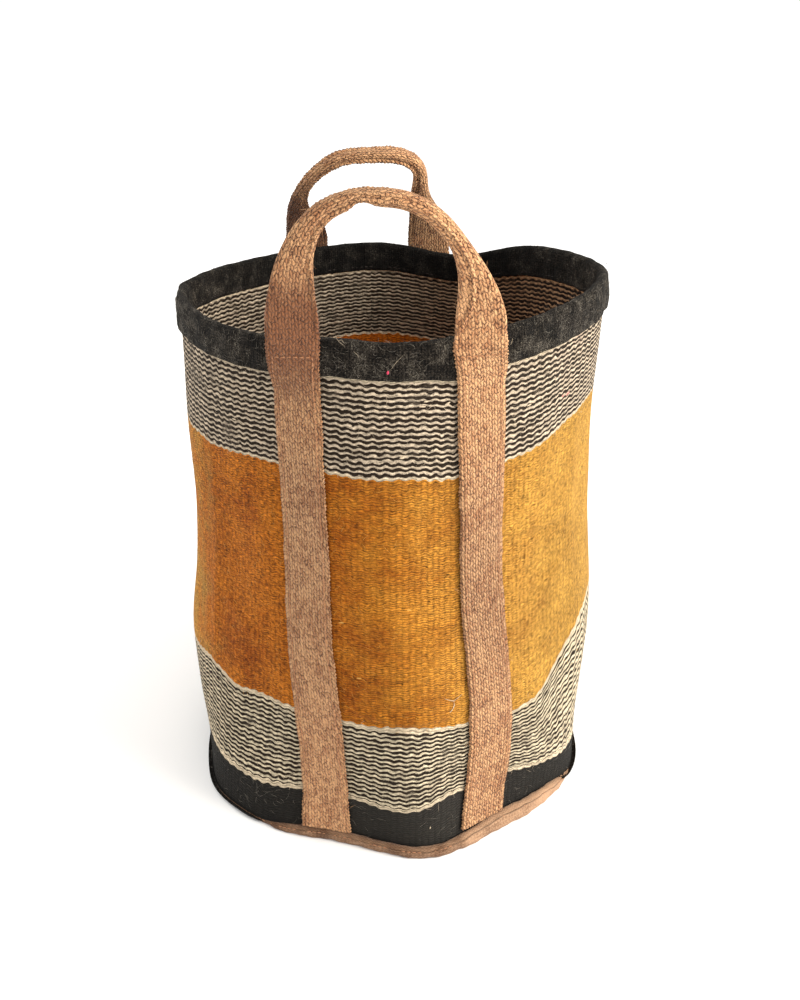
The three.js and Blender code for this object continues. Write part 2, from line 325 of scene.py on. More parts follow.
def lay_out_strap(strap):
    """Where a strap's handle stands: along and out from the line between its legs, and its fold's height"""
    side = strap["side"]
    left, right = (skin(leg["angle"], BAG_HEIGHT) * (1, 1, 0) for leg in strap["legs"])
    strap["along"] = along = unit(right - left)
    strap["outward"] = outward = np.array([along[1], -along[0], 0]) * -side
    edges = []
    for leg in strap["legs"]:
        leg["station"] = float(skin(leg["angle"], BAG_HEIGHT) @ along)
        for share in (-0.5, -0.25, 0, 0.25, 0.5):
            angle = rim_angle(leg["x"] + share * WEBBING_WIDTH, side)
            edges.append(skin(angle, BAG_HEIGHT, GAP + BAND + STRAP_GAP))
    strap["reach"] = max(float(edge @ outward) for edge in edges) + GAP
    strap["rise"] = max(float(edge[2]) for edge in edges) - BAG_HEIGHT
    strap["fold"] = LOOP_LEVEL + strap["rise"] + GAP + WEBBING
    middle = (strap["legs"][0]["station"] + strap["legs"][1]["station"]) / 2
    place = middle * along + (strap["reach"] + WEBBING) * outward + np.array([0, 0, strap["fold"]])
    yaw = math.atan2(along[1], along[0])
    tilt = math.radians(side * strap["lean"])
    strap["matrix"] = np.array(
        Matrix.Translation(Vector(place)) @ Matrix.Rotation(yaw, 4, "Z") @ Matrix.Rotation(tilt, 4, "X")
    )


for strap in STRAPS.values():
    lay_out_strap(strap)


def leg_point(strap, leg, across, out, level):
    """A point on a leg: across its width, out from its face on the bag, at a level above the floor"""
    height = np.minimum(level, BAG_HEIGHT)
    middle = leg_angle(leg, height)
    for turn, at, reach in leg["drift"]:
        middle = middle + turn * np.exp(-(((height - at) / reach) ** 2))
    waves = sum(share * np.sin(count * height + start * leg["x"]) for count, start, share in LEG_WAVES)
    across = across * (1 + waves + leg["fan"] * (1 - smooth(height / FAN_LEVEL)))
    angle = middle - strap["side"] * np.degrees(across / plan_radius(middle, height))
    step = (GAP + BAND) * smooth((level - STEP_LEVEL) / STEP_LENGTH)
    point = skin(angle, height, STRAP_GAP + step + out)
    free = smooth((level - STEP_LEVEL) / (LOOP_LEVEL - STEP_LEVEL))
    flat = (
        (leg["station"] + across)[..., None] * strap["along"]
        + (strap["reach"] + out)[..., None] * strap["outward"]
        + (level + strap["rise"] * (level / LOOP_LEVEL) ** 2)[..., None] * np.array([0, 0, 1])
    )
    return mix(point, flat, free[..., None])


def arch_point(strap, share):
    """Half-way line of a handle, in the loop's own plane"""
    half = (strap["legs"][1]["station"] - strap["legs"][0]["station"]) / 2
    power = 2 / np.where(share < 0.5, *strap["squareness"])
    turn = np.pi * share
    cos, sin = np.cos(turn), np.sin(np.clip(turn, 0, np.pi))
    rise = np.abs(sin) ** power
    sway = strap["sway"] * np.sin(np.pi * np.clip(rise, 0, 1)) ** 2
    return np.stack([sway - np.sign(cos) * half * np.abs(cos) ** power, strap["loop"] * rise], axis=-1)


# Modelling helpers


def bend_grid(columns, rows, place, closed=True):
    """A flat grid, bent: place(s, t) gives each point's position and its place on the flat cloth"""
    shell = bmesh.new()
    bmesh.ops.create_grid(shell, x_segments=columns, y_segments=rows, size=0.5)
    shares = np.array([vertex.co for vertex in shell.verts])[:, :2] + 0.5
    points, cloth = place(shares[:, 0], shares[:, 1])
    cloth = cloth.tolist()
    layer = shell.loops.layers.uv.new("cloth")
    for face in shell.faces:
        face.smooth = True
        for loop in face.loops:
            loop[layer].uv = cloth[loop.vert.index]
    for vertex, point in zip(shell.verts, points.tolist()):
        vertex.co = point
    if closed:
        bmesh.ops.remove_doubles(shell, verts=shell.verts, dist=1e-6)
    return shell


def turn_out(shell):
    """Closes a shell's open ends, and turns its faces out"""
    edges = [edge for edge in shell.edges if edge.is_boundary]
    if edges:
        bmesh.ops.holes_fill(shell, edges=edges, sides=0)
    if shell.calc_volume(signed=True) < 0:
        bmesh.ops.reverse_faces(shell, faces=shell.faces)


def add_piece(name, shell, material):
    mesh = bpy.data.meshes.new(name)
    shell.to_mesh(mesh)
    shell.free()
    mesh.materials.append(material)
    piece = bpy.data.objects.new(name, mesh)
    bpy.context.scene.collection.objects.link(piece)
    return piece


def thicken(piece, thickness):
    wall = piece.modifiers.new("wall", "SOLIDIFY")
    wall.thickness = thickness
    wall.offset = -1
    return piece


# Materials


class Finish:
    """One material's nodes, from the place on the cloth to the shader"""

    def __init__(self, name, roughness, sheen=0.0):
        self.material = bpy.data.materials.new(name)
        self.material.use_nodes = True
        self.tree = self.material.node_tree
        self.shader = self.tree.nodes["Principled BSDF"]
        self.shader.inputs["Specular IOR Level"].default_value = 0.1
        self.shader.inputs["Sheen Weight"].default_value = sheen
        self.shader.inputs["Sheen Roughness"].default_value = 0.5
        self.shader.inputs["Roughness"].default_value = roughness
        self.place = self.node("ShaderNodeTexCoord").outputs["Object"]
        uv = self.node("ShaderNodeUVMap")
        uv.uv_map = "cloth"
        self.cloth = uv.outputs[0]
        self.u, self.v, _ = self.split(self.cloth)

    def node(self, kind, **settings):
        node = self.tree.nodes.new(kind)
        for key, value in settings.items():
            setattr(node, key, value)
        return node

    def join(self, value, socket):
        if isinstance(value, bpy.types.NodeSocket):
            self.tree.links.new(value, socket)
        else:
            socket.default_value = value

    def math(self, operation, *values):
        node = self.node("ShaderNodeMath", operation=operation)
        for value, socket in zip(values, node.inputs):
            self.join(value, socket)
        return node.outputs[0]

    def size(self, value):
        return self.math("ABSOLUTE", value)

    def add(self, a, b):
        return self.math("ADD", a, b)

    def times(self, a, b):
        return self.math("MULTIPLY", a, b)

    def weigh(self, *parts):
        """Values added up, each times its weight"""
        total = 0.0
        for value, weight in parts:
            total = self.math("MULTIPLY_ADD", value, weight, total)
        return total

    def wave(self, place, period):
        return self.math("SINE", self.times(place, 2 * math.pi / period))

    def ease(self, value, low, high, to_low=0.0, to_high=1.0):
        node = self.node("ShaderNodeMapRange", interpolation_type="SMOOTHSTEP")
        for socket, setting in zip(node.inputs, (value, low, high, to_low, to_high)):
            self.join(setting, socket)
        return node.outputs[0]

    def split(self, place):
        node = self.node("ShaderNodeSeparateXYZ")
        self.join(place, node.inputs[0])
        return tuple(node.outputs)

    def vector(self, x, y, z=0.0):
        node = self.node("ShaderNodeCombineXYZ")
        for value, socket in zip((x, y, z), node.inputs):
            self.join(value, socket)
        return node.outputs[0]

    def noise(self, place, scale, detail=2.0, roughness=0.5, stretch=(1, 1, 1)):
        """Noise with its middle at 0, about -0.5 to 0.5"""
        mapping = self.node("ShaderNodeMapping")
        self.join(place, mapping.inputs["Vector"])
        mapping.inputs["Scale"].default_value = stretch
        node = self.node("ShaderNodeTexNoise")
        self.join(mapping.outputs[0], node.inputs["Vector"])
        for key, value in (("Scale", scale), ("Detail", detail), ("Roughness", roughness)):
            node.inputs[key].default_value = value
        return self.add(node.outputs[0], -0.5)

    def streaks(self, along, up, detail=2.0, roughness=0.6, row=None):
        """Noise drawn out on the cloth: its scale along the cloth and up it, or along and up a row"""
        drawn_out = self.vector(self.times(self.u, along), self.times(self.v if row is None else row, up))
        return self.noise(drawn_out, 1.0, detail, roughness)

    def speckle(self, x, y):
        """A chance value from 0 to 1 for each whole x and y"""
        node = self.node("ShaderNodeTexWhiteNoise", noise_dimensions="2D")
        self.join(self.vector(self.math("FLOOR", x), self.math("FLOOR", y)), node.inputs["Vector"])
        return node.outputs[0]

    def blend(self, a, b, share, way="MIX"):
        node = self.node("ShaderNodeMix", data_type="RGBA", blend_type=way)
        self.join(share, node.inputs[0])
        for value, socket in ((a, node.inputs[6]), (b, node.inputs[7])):
            self.join(value if isinstance(value, bpy.types.NodeSocket) else (*value, 1), socket)
        return node.outputs[2]

    def shade(self, colour, share):
        """A colour made lighter or darker by a share"""
        return self.blend(colour, self.vector(share, share, share), 1.0, "MULTIPLY")

    def tint(self, colour, tint, share):
        return self.blend(colour, self.blend(colour, tint, 1.0, "MULTIPLY"), share)

    def bands(self, value, stops):
        """Colours that change at the given values, with no easing between them"""
        node = self.node("ShaderNodeValToRGB")
        node.color_ramp.interpolation = "CONSTANT"
        self.join(value, node.inputs[0])
        elements = node.color_ramp.elements
        while len(elements) < len(stops):
            elements.new(1)
        for element, (position, colour) in zip(elements, stops):
            element.position = position
            element.color = (*colour, 1)
        return node.outputs[0]

    def finish(self, colour, height, distance, strength=1.0):
        bump = self.node("ShaderNodeBump")
        bump.inputs["Strength"].default_value = strength
        bump.inputs["Distance"].default_value = distance
        self.join(height, bump.inputs["Height"])
        self.join(bump.outputs[0], self.shader.inputs["Normal"])
        self.join(colour, self.shader.inputs["Base Color"])
        return self.material


BLACK_TOP = 0.046  # levels at which the woven bands change
LOW_STRIPES_TOP = 0.135
MUSTARD_TOP = 0.3835
STRIPES_TOP = 0.4684
BORDER = 0.0031  # cream line along each change
ROW_PAIR = 0.0047  # one black and one cream row
WARP_PAIR = 0.0108
ROW_WAVE = 0.00062

CREAM = (0.43, 0.345, 0.25)
CREAM_LOW = (0.52, 0.435, 0.30)
CREAM_EDGE = (0.56, 0.455, 0.315)
INK = (0.017, 0.0105, 0.006)
MUSTARD = (0.42, 0.152, 0.0130)
MUSTARD_DARK = (0.24, 0.066, 0.0042)
# painted light: the mustard's paler, yellower colour on the right and at the far left
MUSTARD_PAINTED_LIGHT = (0.43, 0.240, 0.046)
CHARCOAL = (0.013, 0.0115, 0.0095)
WARM_CHARCOAL = (0.0142, 0.0112, 0.0082)
CREAM_STAIN = (0.40, 0.24, 0.17)
GREY_FUZZ = (0.085, 0.066, 0.046)
FELT_FLECK = (0.26, 0.225, 0.17)
FELT_WISP = (0.13, 0.115, 0.095)

# Where a change between two bands lies higher or lower than its level: middle, spread, rise
BLACK_SHIFTS = ((32, 14, 0.010), (75, 20, -0.006), (15, 7, 0.010), (98, 17, -0.008), (-99, 16, -0.007))
STRIPE_SHIFTS = (
    (33, 14, -0.013),
    (-42, 25, 0.005),
    (-92, 20, -0.010),
    (46, 6, -0.004),
    (4, 9, 0.006),
    (-62, 8, 0.0045),
    (-47, 6, -0.005),
)
MUSTARD_SHIFTS = (
    (74, 22, 0.012),
    (14, 12, -0.004),
    (-82, 22, -0.005),
    (-55, 9, -0.0045),
    (-8, 9, -0.0025),
    (180, 40, 0.006),
)


def shifted(angle, shifts):
    return sum(rise * mound(angle, middle, spread) for middle, spread, rise in shifts)


def dyed_level(angle, level):
    """The place in the pattern of a point at a level: the bands wander, and fan out on the right"""
    right = smooth((angle - 42) / 28) * (1 - smooth((angle - 105) / 60))
    black = shifted(angle, BLACK_SHIFTS)
    stripes = shifted(angle, STRIPE_SHIFTS) + 0.050 * right
    mustard = shifted(angle, MUSTARD_SHIFTS) - 0.005 * plateau(angle, 28, 18)
    changes = (0, BLACK_TOP, LOW_STRIPES_TOP, MUSTARD_TOP, STRIPES_TOP, BAG_HEIGHT)
    hem = -HEM_DROP[2] * mound(angle, *HEM_DROP[:2])
    shifts = (0, black, stripes, mustard, hem, 0)
    dyed = 0
    for i in range(len(changes) - 1):
        low, high = changes[i] + shifts[i], changes[i + 1] + shifts[i + 1]
        dyed = dyed + (changes[i + 1] - changes[i]) * np.clip((level - low) / (high - low), 0, 1)
    return dyed


def weave(f):
    """The kilim's rows and warps: where each point lies in them, their relief, and the grain of their yarn"""
    drift = f.noise(f.place, 7.0, 1.0)
    quiver = f.noise(f.place, 60.0, 3.0, 0.6)
    swell, ragged = f.streaks(34, 190), f.streaks(170, 330)
    uneven = f.weigh((drift, 0.0035), (quiver, 0.0020), (swell, 0.0026), (ragged, 0.0019))
    level = f.add(f.v, uneven)
    column = f.wave(f.add(f.u, f.times(quiver, 0.0042)), WARP_PAIR)
    row = f.add(level, f.times(column, f.add(ROW_WAVE, f.times(f.noise(f.place, 34.0, 1.0), 0.0011))))
    pick, hump = f.size(f.wave(row, ROW_PAIR)), f.size(column)
    domed = f.add(0.55, f.times(f.math("POWER", hump, 0.7), 0.45))
    return SimpleNamespace(
        drift=drift,
        level=level,
        row=row,
        relief=f.times(f.math("POWER", pick, 0.6), domed),
        ridge=f.times(f.math("POWER", hump, 0.5), f.math("POWER", pick, 0.4)),
        streak=f.streaks(70, 420, 3.0, row=row),
        dash=f.streaks(190, 800, row=row),
        fibre=f.streaks(500, 1500, 3.0, 0.7, row=row),
        blotch=f.noise(f.place, 26.0, 4.0, 0.7),
    )


def band_masks(f, row):
    """Where the cloth is striped, where it is mustard, and where a cream border runs between two bands"""
    striped, plain, border, none = (1, 0, 0), (0, 1, 0), (0, 0, 1), (0, 0, 0)
    levels = (
        (0.0, none),
        (BLACK_TOP, border),
        (BLACK_TOP + BORDER, striped),
        (LOW_STRIPES_TOP - BORDER, border),
        (LOW_STRIPES_TOP, plain),
        (MUSTARD_TOP, border),
        (MUSTARD_TOP + BORDER, striped),
        (STRIPES_TOP - BORDER, border),
        (STRIPES_TOP, none),
    )
    stops = [(level / BAG_HEIGHT, mask) for level, mask in levels]
    split = f.node("ShaderNodeSeparateColor")
    f.join(f.bands(f.math("DIVIDE", row, BAG_HEIGHT), stops), split.inputs[0])
    return tuple(split.outputs)


def striped_wool(f, cloth, x):
    """Rows of black and cream, frayed and matted in places, and the plain cream of their borders"""
    frayed = f.weigh((cloth.streak, 2.6), (cloth.dash, 1.8), (cloth.fibre, 1.1))
    # more cream in the low stripes towards the right
    more_cream_low_right = f.times(f.ease(cloth.level, 0.13, 0.15, 1.0, 0.0), f.ease(x, 0.07, 0.16, 0.06, 0.36))
    rows = f.add(f.wave(cloth.row, ROW_PAIR), f.add(frayed, more_cream_low_right))
    yarn = f.weigh((cloth.streak, 1.9), (cloth.fibre, 1.7), (cloth.dash, 2.2))
    low = f.ease(cloth.level, LOW_STRIPES_TOP, LOW_STRIPES_TOP + 0.02, 1.0, 0.0)
    cream = f.shade(f.blend(CREAM, CREAM_LOW, low), f.add(0.98, yarn))
    stained = f.ease(f.add(cloth.blotch, f.times(cloth.streak, 0.8)), 0.08, 0.4, 0.0, 0.55)
    cream = f.blend(cream, CREAM_STAIN, stained)
    ink = f.shade(INK, f.add(1.0, f.times(cloth.fibre, 1.2)))
    matted = f.ease(f.add(f.noise(f.place, 52.0, 3.0, 0.7), f.times(cloth.drift, 0.5)), 0.05, 0.30, 0.0, 0.55)
    fuzz = f.shade(GREY_FUZZ, f.math("MAXIMUM", f.add(1.0, f.times(yarn, 2.2)), 0.1))
    stripes = f.blend(f.blend(ink, cream, f.ease(rows, -0.16, 0.36)), fuzz, matted)
    return stripes, f.shade(CREAM_EDGE, f.add(0.98, f.times(yarn, 0.7)))


def mustard_wool(f, cloth, x):
    """Mustard rows: painted shade makes them redder on the left, painted light makes them paler and yellower
    on the right and at the far left, and near the middle the weave's ridges are painted lighter and its
    hollows darker
    """
    broad, dye = f.noise(f.place, 7.0, 2.0), f.streaks(6, 230, row=cloth.level)
    tone = f.weigh((cloth.blotch, 1.3), (broad, 0.6), (dye, 0.5), (cloth.streak, 0.7))
    colour = f.blend(MUSTARD_DARK, MUSTARD, f.ease(tone, -0.40, 0.26))
    # painted shade: the left side, away from the key light, is tinted redder
    painted_shade_left = f.ease(f.add(x, f.times(cloth.blotch, 0.15)), -0.08, 0.03, 1.0, 0.0)
    colour = f.tint(colour, (1.0, 0.86, 0.9), painted_shade_left)
    # painted light: paler and yellower towards the right, where the key light and sheen fall, and a painted
    # rim of light at the far left edge
    drifted = f.add(x, f.times(cloth.blotch, 0.12))
    painted_light_share = f.add(f.ease(drifted, -0.04, 0.20, 0.0, 0.88), f.ease(drifted, -0.215, -0.165, 0.8, 0.0))
    colour = f.blend(colour, f.shade(MUSTARD_PAINTED_LIGHT, f.add(1.0, f.times(tone, 0.6))), painted_light_share)

    grain = f.noise(f.place, 330.0, 3.0, 0.7)
    # pale flecks of yarn, with a little painted highlight on the weave's ridges; painted contrast makes them
    # stronger on the left, in place of the shading of the relief
    flecks_and_painted_light = f.weigh((cloth.dash, 1.9), (cloth.fibre, 1.2), (cloth.ridge, 0.1), (grain, 1.6))
    flecks_and_painted_light = f.math("MAXIMUM", f.times(flecks_and_painted_light, f.ease(x, -0.14, 0.0, 1.5, 1.0)), -0.46)
    # painted light and shade: the upright ridges of the weave painted lighter and their hollows darker,
    # mostly near the middle, where side light picks them out
    rib_shade_share = f.ease(f.add(x, f.times(cloth.blotch, 0.35)), -0.08, 0.05, 0.15, 1.0)
    rib_shade_share = f.times(rib_shade_share, f.ease(x, 0.10, 0.15, 1.0, 0.25))
    clear = f.ease(f.noise(f.place, 38.0, 2.0), -0.14, 0.16, 0.12, 0.62)
    rib_shade = f.times(f.times(f.add(cloth.relief, -0.62), clear), rib_shade_share)
    matting = f.times(f.noise(f.place, 95.0, 5.0, 0.72, (1, 1, 1.7)), 0.85)
    hairy = f.ease(f.size(f.noise(f.place, 190.0, 3.0, 0.6, (1, 1, 2))), 0.0, 0.03, 0.16, 0.0)
    colour = f.shade(colour, f.add(0.78, f.add(rib_shade, f.add(f.add(matting, hairy), flecks_and_painted_light))))
    rust = f.ease(f.noise(f.place, 250.0, 2.0, 0.6, (1, 1, 1.5)), 0.13, 0.24, 0.0, 0.6)
    return f.blend(colour, f.shade(MUSTARD_DARK, 0.6), rust)


def black_wool(f, cloth, x):
    nap = f.weigh((cloth.fibre, 2.6), (cloth.blotch, 1.2), (cloth.dash, 1.8))
    # painted sheen: the black is lighter across the middle of the front
    painted_front_sheen = f.ease(f.size(f.add(x, -0.02)), 0.05, 0.15, 0.75, 0.0)
    return f.shade(CHARCOAL, f.add(f.add(1.1, painted_front_sheen), nap))


def kilim(name="kilim", inside=False):
    """Weft-faced wool: wavy rows over cotton warps, in bands of black and cream, mustard and charcoal"""
    f = Finish(name, 0.95, sheen=0.02)
    x, _, _ = f.split(f.place)
    cloth = weave(f)
    striped, plain, border = band_masks(f, cloth.row)
    stripes, edging = striped_wool(f, cloth, x)
    colour = f.blend(black_wool(f, cloth, x), stripes, striped)
    colour = f.blend(colour, mustard_wool(f, cloth, x), plain)
    colour = f.blend(colour, edging, border)
    # painted shade: darker in the hollows between the rows and warps, lighter on their crowns
    colour = f.shade(colour, f.add(0.72, f.times(cloth.relief, 0.38)))
    # painted light and shade inside the bag: the cream borders painted brighter, the mustard painted warmer
    # as by bounced light, and the right side painted darker as in the shadow of the front wall
    if inside:
        colour = f.blend(colour, f.shade(colour, 1.7), border)
        colour = f.tint(colour, (1.5, 1.2, 0.9), plain)
        colour = f.tint(colour, (0.72, 0.52, 0.40), f.ease(x, -0.04, 0.12))
    relief = f.times(cloth.relief, f.add(1.0, f.times(plain, -0.45)))
    height = f.add(relief, f.weigh((cloth.fibre, 0.5), (cloth.streak, 0.4), (cloth.dash, 0.5)))
    return f.finish(colour, height, 0.0013, 1.0)


def felt():
    """Charcoal wool felt, with paler fibres lying all ways"""
    f = Finish("felt", 1.0, sheen=0.02)
    fine = f.noise(f.place, 620.0, 3.0, 0.75)
    cloud = f.noise(f.place, 75.0, 4.0, 0.65)
    rows = f.times(f.size(f.wave(f.u, WARP_PAIR / 2)), f.size(f.wave(f.v, ROW_PAIR)))
    warp = f.wave(f.add(f.u, f.times(cloud, 0.004)), WARP_PAIR / 2)
    nap = f.weigh((fine, 7.5), (cloud, 3.8), (rows, 1.0))
    colour = f.shade(WARM_CHARCOAL, f.math("MAXIMUM", f.add(0.60, nap), 0.12))
    fleck = f.add(f.noise(f.place, 900.0, 2.0, 0.6), f.times(cloud, 0.6))
    colour = f.blend(colour, FELT_FLECK, f.ease(fleck, 0.13, 0.27, 0.0, 0.85))
    for scale, stretch in ((210.0, (1, 1, 2.4)), (260.0, (2.2, 1, 1.3)), (230.0, (1, 2.0, 1))):
        wisps = f.ease(f.size(f.noise(f.place, scale, 3.0, 0.65, stretch)), 0.0, 0.02, 1.0, 0.0)
        colour = f.blend(colour, FELT_WISP, f.times(wisps, f.ease(f.add(fine, cloud), -0.02, 0.32)))
    _, y, _ = f.split(f.place)
    # painted shade: the felt is darker towards the back of the bag
    colour = f.shade(colour, f.ease(y, 0.02, 0.17, 1.0, 0.3))
    return f.finish(colour, f.weigh((fine, 1.6), (cloud, 2.2), (warp, 0.1), (rows, 0.5)), 0.0015, 1.0)


JUTE = (0.43, 0.190, 0.083)
JUTE_PALE = (0.68, 0.370, 0.178)
JUTE_GAP_SHADE = (0.085, 0.029, 0.012)  # painted shade between its floats, on the handles
JUTE_LEG_GAP_SHADE = (0.15, 0.060, 0.028)  # the same painted shade, lighter, on the legs
JUTE_STAIN_AND_SHADE = (0.24, 0.088, 0.037)  # dark patches on the webbing: stains, and near the rim partly stain and partly painted shade
STAIN_AND_SHADE_AT = (0.50, 0.10)  # where the dark patch near the rim lies, along a strap from its left foot, and how far it spreads
STRAND = 0.0027  # width of one strand of the webbing
FLOAT = 0.0048  # length of one of its floats
TAPE = (0.46, 0.275, 0.160)
TAPE_DARK = (0.10, 0.045, 0.022)
TAPE_THREAD = 0.0017


def painted_light_and_tone(f, blotch):
    """How light the webbing is: paler at the left foot, painted light at the top right, painted shade on the
    rear strap's legs, and darker down the right
    """
    x, y, z = f.split(f.place)
    level = f.add(z, f.times(blotch, 0.05))
    # painted shade on the legs of the rear strap, below its grip
    behind = f.times(f.ease(y, 0.10, 0.14), f.ease(level, 0.53, 0.585, 0.5, 0.0))
    # darker on the right-hand legs around mid-height
    darker_right_middle = f.times(f.ease(x, 0.02, 0.06), f.ease(f.size(f.add(z, -0.27)), 0.02, 0.14, 0.17, 0.0))
    # painted light: paler at the top of the right-hand legs, where the key light falls
    painted_light_top_right = f.times(f.ease(x, -0.03, 0.05), f.ease(z, 0.44, 0.52, 0.0, 0.22))
    pale_foot = f.times(f.ease(x, -0.02, 0.02, 1.0, 0.0), f.ease(z, 0.08, 0.22, 0.17, 0.0))
    light = f.add(f.add(f.ease(z, 0.38, 0.48, 0.95, 1.0), painted_light_top_right), pale_foot)
    return f.math("SUBTRACT", f.math("SUBTRACT", light, behind), darker_right_middle)


def webbing():
    """Jute webbing: floats of thick yarn, staggered from strand to strand and leaning by turns"""
    f = Finish("webbing", 0.9, sheen=0.1)
    quiver, jitter = f.noise(f.cloth, 150.0, 3.0, 0.6), f.noise(f.cloth, 360.0, 2.0, 0.6)
    column = f.math("DIVIDE", f.add(f.u, f.weigh((quiver, 0.0034), (jitter, 0.0022))), STRAND)
    strand = f.math("FLOOR", column)
    within = f.add(f.math("FRACT", column), -0.5)
    parity = f.math("MODULO", f.size(strand), 2.0)
    lean = f.times(f.add(f.times(parity, 2.0), -1.0), within)
    shift = f.weigh((parity, 0.34), (lean, 0.5), (quiver, 1.6), (jitter, 1.0))
    phase = f.add(f.math("DIVIDE", f.v, FLOAT), shift)
    bead = f.size(f.math("SINE", f.times(phase, math.pi)))
    ridge = f.math("COSINE", f.times(within, math.pi))
    relief = f.times(f.math("POWER", bead, 0.6), f.math("POWER", ridge, 0.55))

    chance = f.speckle(strand, phase)
    fibre = f.streaks(2400, 600, 3.0, 0.7)
    fleck = f.noise(f.cloth, 400.0, 3.0, 0.75)
    blotch = f.noise(f.cloth, 24.0, 3.0, 0.65)
    tone = f.weigh((chance, 0.45), (fibre, 0.9), (blotch, 1.1), (fleck, 0.6))
    colour = f.blend(JUTE, JUTE_PALE, f.ease(f.add(tone, 0.30), 0.15, 0.75))
    # stains from the blotches, and near the rim of the left leg a patch that is partly stain and partly
    # painted shade
    near_rim = f.ease(f.size(f.add(f.v, -STAIN_AND_SHADE_AT[0])), 0.0, STAIN_AND_SHADE_AT[1], 0.6, 0.0)
    stain_and_shade = f.add(near_rim, f.add(blotch, f.times(fleck, 0.5)))
    colour = f.blend(colour, JUTE_STAIN_AND_SHADE, f.ease(stain_and_shade, 0.10, 0.55, 0.0, 0.9))
    # painted shade: darker between the floats, where the relief is low, and more so on the handles
    gap_shade = f.blend(JUTE_LEG_GAP_SHADE, JUTE_GAP_SHADE, f.ease(f.split(f.place)[2], 0.42, 0.54))
    filled = f.add(relief, f.weigh((fleck, 1.8), (quiver, 1.3), (chance, 0.25)))
    colour = f.blend(gap_shade, colour, f.ease(filled, -0.02, 0.82))
    colour = f.shade(colour, painted_light_and_tone(f, blotch))
    return f.finish(colour, f.add(relief, f.weigh((fibre, 0.3), (fleck, 0.6))), 0.0027, 0.95)


def plain_jute():
    """Fine plain-woven jute"""
    f = Finish("plain_jute", 0.92, sheen=0.1)
    quiver = f.noise(f.place, 120.0, 2.0)
    over = f.wave(f.add(f.u, f.times(quiver, 0.0008)), 2 * TAPE_THREAD)
    under = f.wave(f.add(f.v, f.times(quiver, 0.0008)), 2 * TAPE_THREAD)
    knots = f.times(over, under)
    fibre = f.streaks(1500, 1500, 3.0, 0.7)
    streak = f.streaks(90, 900, 3.0, 0.65)
    blotch = f.noise(f.place, 25.0, 3.0, 0.6)
    tone = f.add(0.34, f.weigh((knots, 0.10), (fibre, 1.2), (streak, 1.1), (blotch, 1.2)))
    x, _, _ = f.split(f.place)
    # painted light: the tape is lighter towards the right, where the key light falls
    painted_light_right = f.ease(x, 0.04, 0.13, 0.0, 0.40)
    colour = f.blend(TAPE_DARK, TAPE, f.ease(f.add(tone, painted_light_right), 0.0, 1.0))
    # painted shade: a dark line along the fold near the top of the rolled tape
    fold_shade = f.size(f.add(f.v, f.add(-0.0026, f.times(quiver, 0.0012))))
    colour = f.shade(colour, f.ease(fold_shade, 0.0002, 0.0010, 0.5, 1.0))
    return f.finish(colour, f.add(f.times(knots, 0.2), f.add(fibre, streak)), 0.0009, 1.0)


def spun(name, colour):
    """Spun thread or a loose fibre"""
    f = Finish(name, 0.85, sheen=0.1)
    shade = f.shade(colour, f.add(1.0, f.times(f.noise(f.place, 700.0, 2.0, 0.6), 0.9)))
    return f.finish(shade, f.noise(f.place, 2200.0, 2.0), 0.0002, 0.6)


# Pieces

SEAM_START = SEAM_ANGLE - 360
BASE_INSET = 0.001
TAPE_START = 1.0  # metres along the tape that the base is cut from, clear of the painted shade along its fold
RIM_PUFF = 0.0009  # how far the band is puffed between its edges
RIM_LUMPS = ((31, 90, 0.0005), (57, -140, 0.0004))  # lumps round the rim, turn along its run, height
EDGE_LUMPS = ((43, 2, 0.0005), (101, -1, 0.0003))  # lumps round the jute edge, turns round its roll, height


def around(s):
    return SEAM_START + 360 * s


def lumps(kinds, angle, along):
    return sum(height * np.sin(count * np.radians(angle) + slant * along) for count, slant, height in kinds)


def wool_body(look, inner_look):
    low, high = BASE + GAP, BAG_HEIGHT - BAND - GAP

    def place(s, t):
        level = mix(low, high, t**1.4)
        points = skin(around(s), level)
        points[:, 2] = np.maximum(points[:, 2] - sag(around(s), level), CLOTH + GAP)
        return points, np.stack([s * GIRTH, dyed_level(around(s), level)], axis=-1)

    piece = add_piece("wool_body", bend_grid(330, 144, place), look)
    piece.data.materials.append(inner_look)
    thicken(piece, CLOTH).modifiers["wall"].material_offset = 1
    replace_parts(piece, "woven_body")
    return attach(piece, "bag")


def felt_rim(look):
    """A thick felted band folded over the rim, puffed between its edges, with its hem lower in one place"""
    outer, inner = GAP + BAND, -CLOTH - GAP - BAND
    crown = (outer - inner) / 2
    straight = BAND_HEIGHT - crown
    bend = math.pi * crown
    length = 2 * straight + bend

    def place(s, t):
        run = t * length
        up = np.clip(run / straight, 0, 1)
        down = np.clip((run - straight - bend) / straight, 0, 1)
        turn = np.clip(run - straight, 0, bend) / crown
        puff = RIM_PUFF * (np.sin(np.pi * up) - np.sin(np.pi * down))
        angle = around(s)
        out = (outer + inner) / 2 + crown * np.cos(turn) + puff + lumps(RIM_LUMPS, angle, run)
        level = BAND_LEVEL + straight * (up - down) + crown * np.sin(turn)
        level = level - HEM_DROP[2] * mound(angle, *HEM_DROP[:2]) * (1 - up)
        return skin(angle, level, out), np.stack([s * GIRTH, run], axis=-1)

    piece = add_piece("felt_rim", bend_grid(400, 36, place), look)
    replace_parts(thicken(piece, BAND), "rim_binding")
    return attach(piece, "bag")


def jute_base(look):
    """The flat base, a little inside the foot of the cloth"""

    def place(s, t):
        point = skin(around(s), 0.0, -BASE_INSET) * np.stack([t, t, 0 * t], axis=-1)
        return point, point[:, :2] + TAPE_START

    piece = add_piece("jute_base", bend_grid(160, 24, place), look)
    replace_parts(thicken(piece, BASE), "base_disc")
    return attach(piece, "bag")


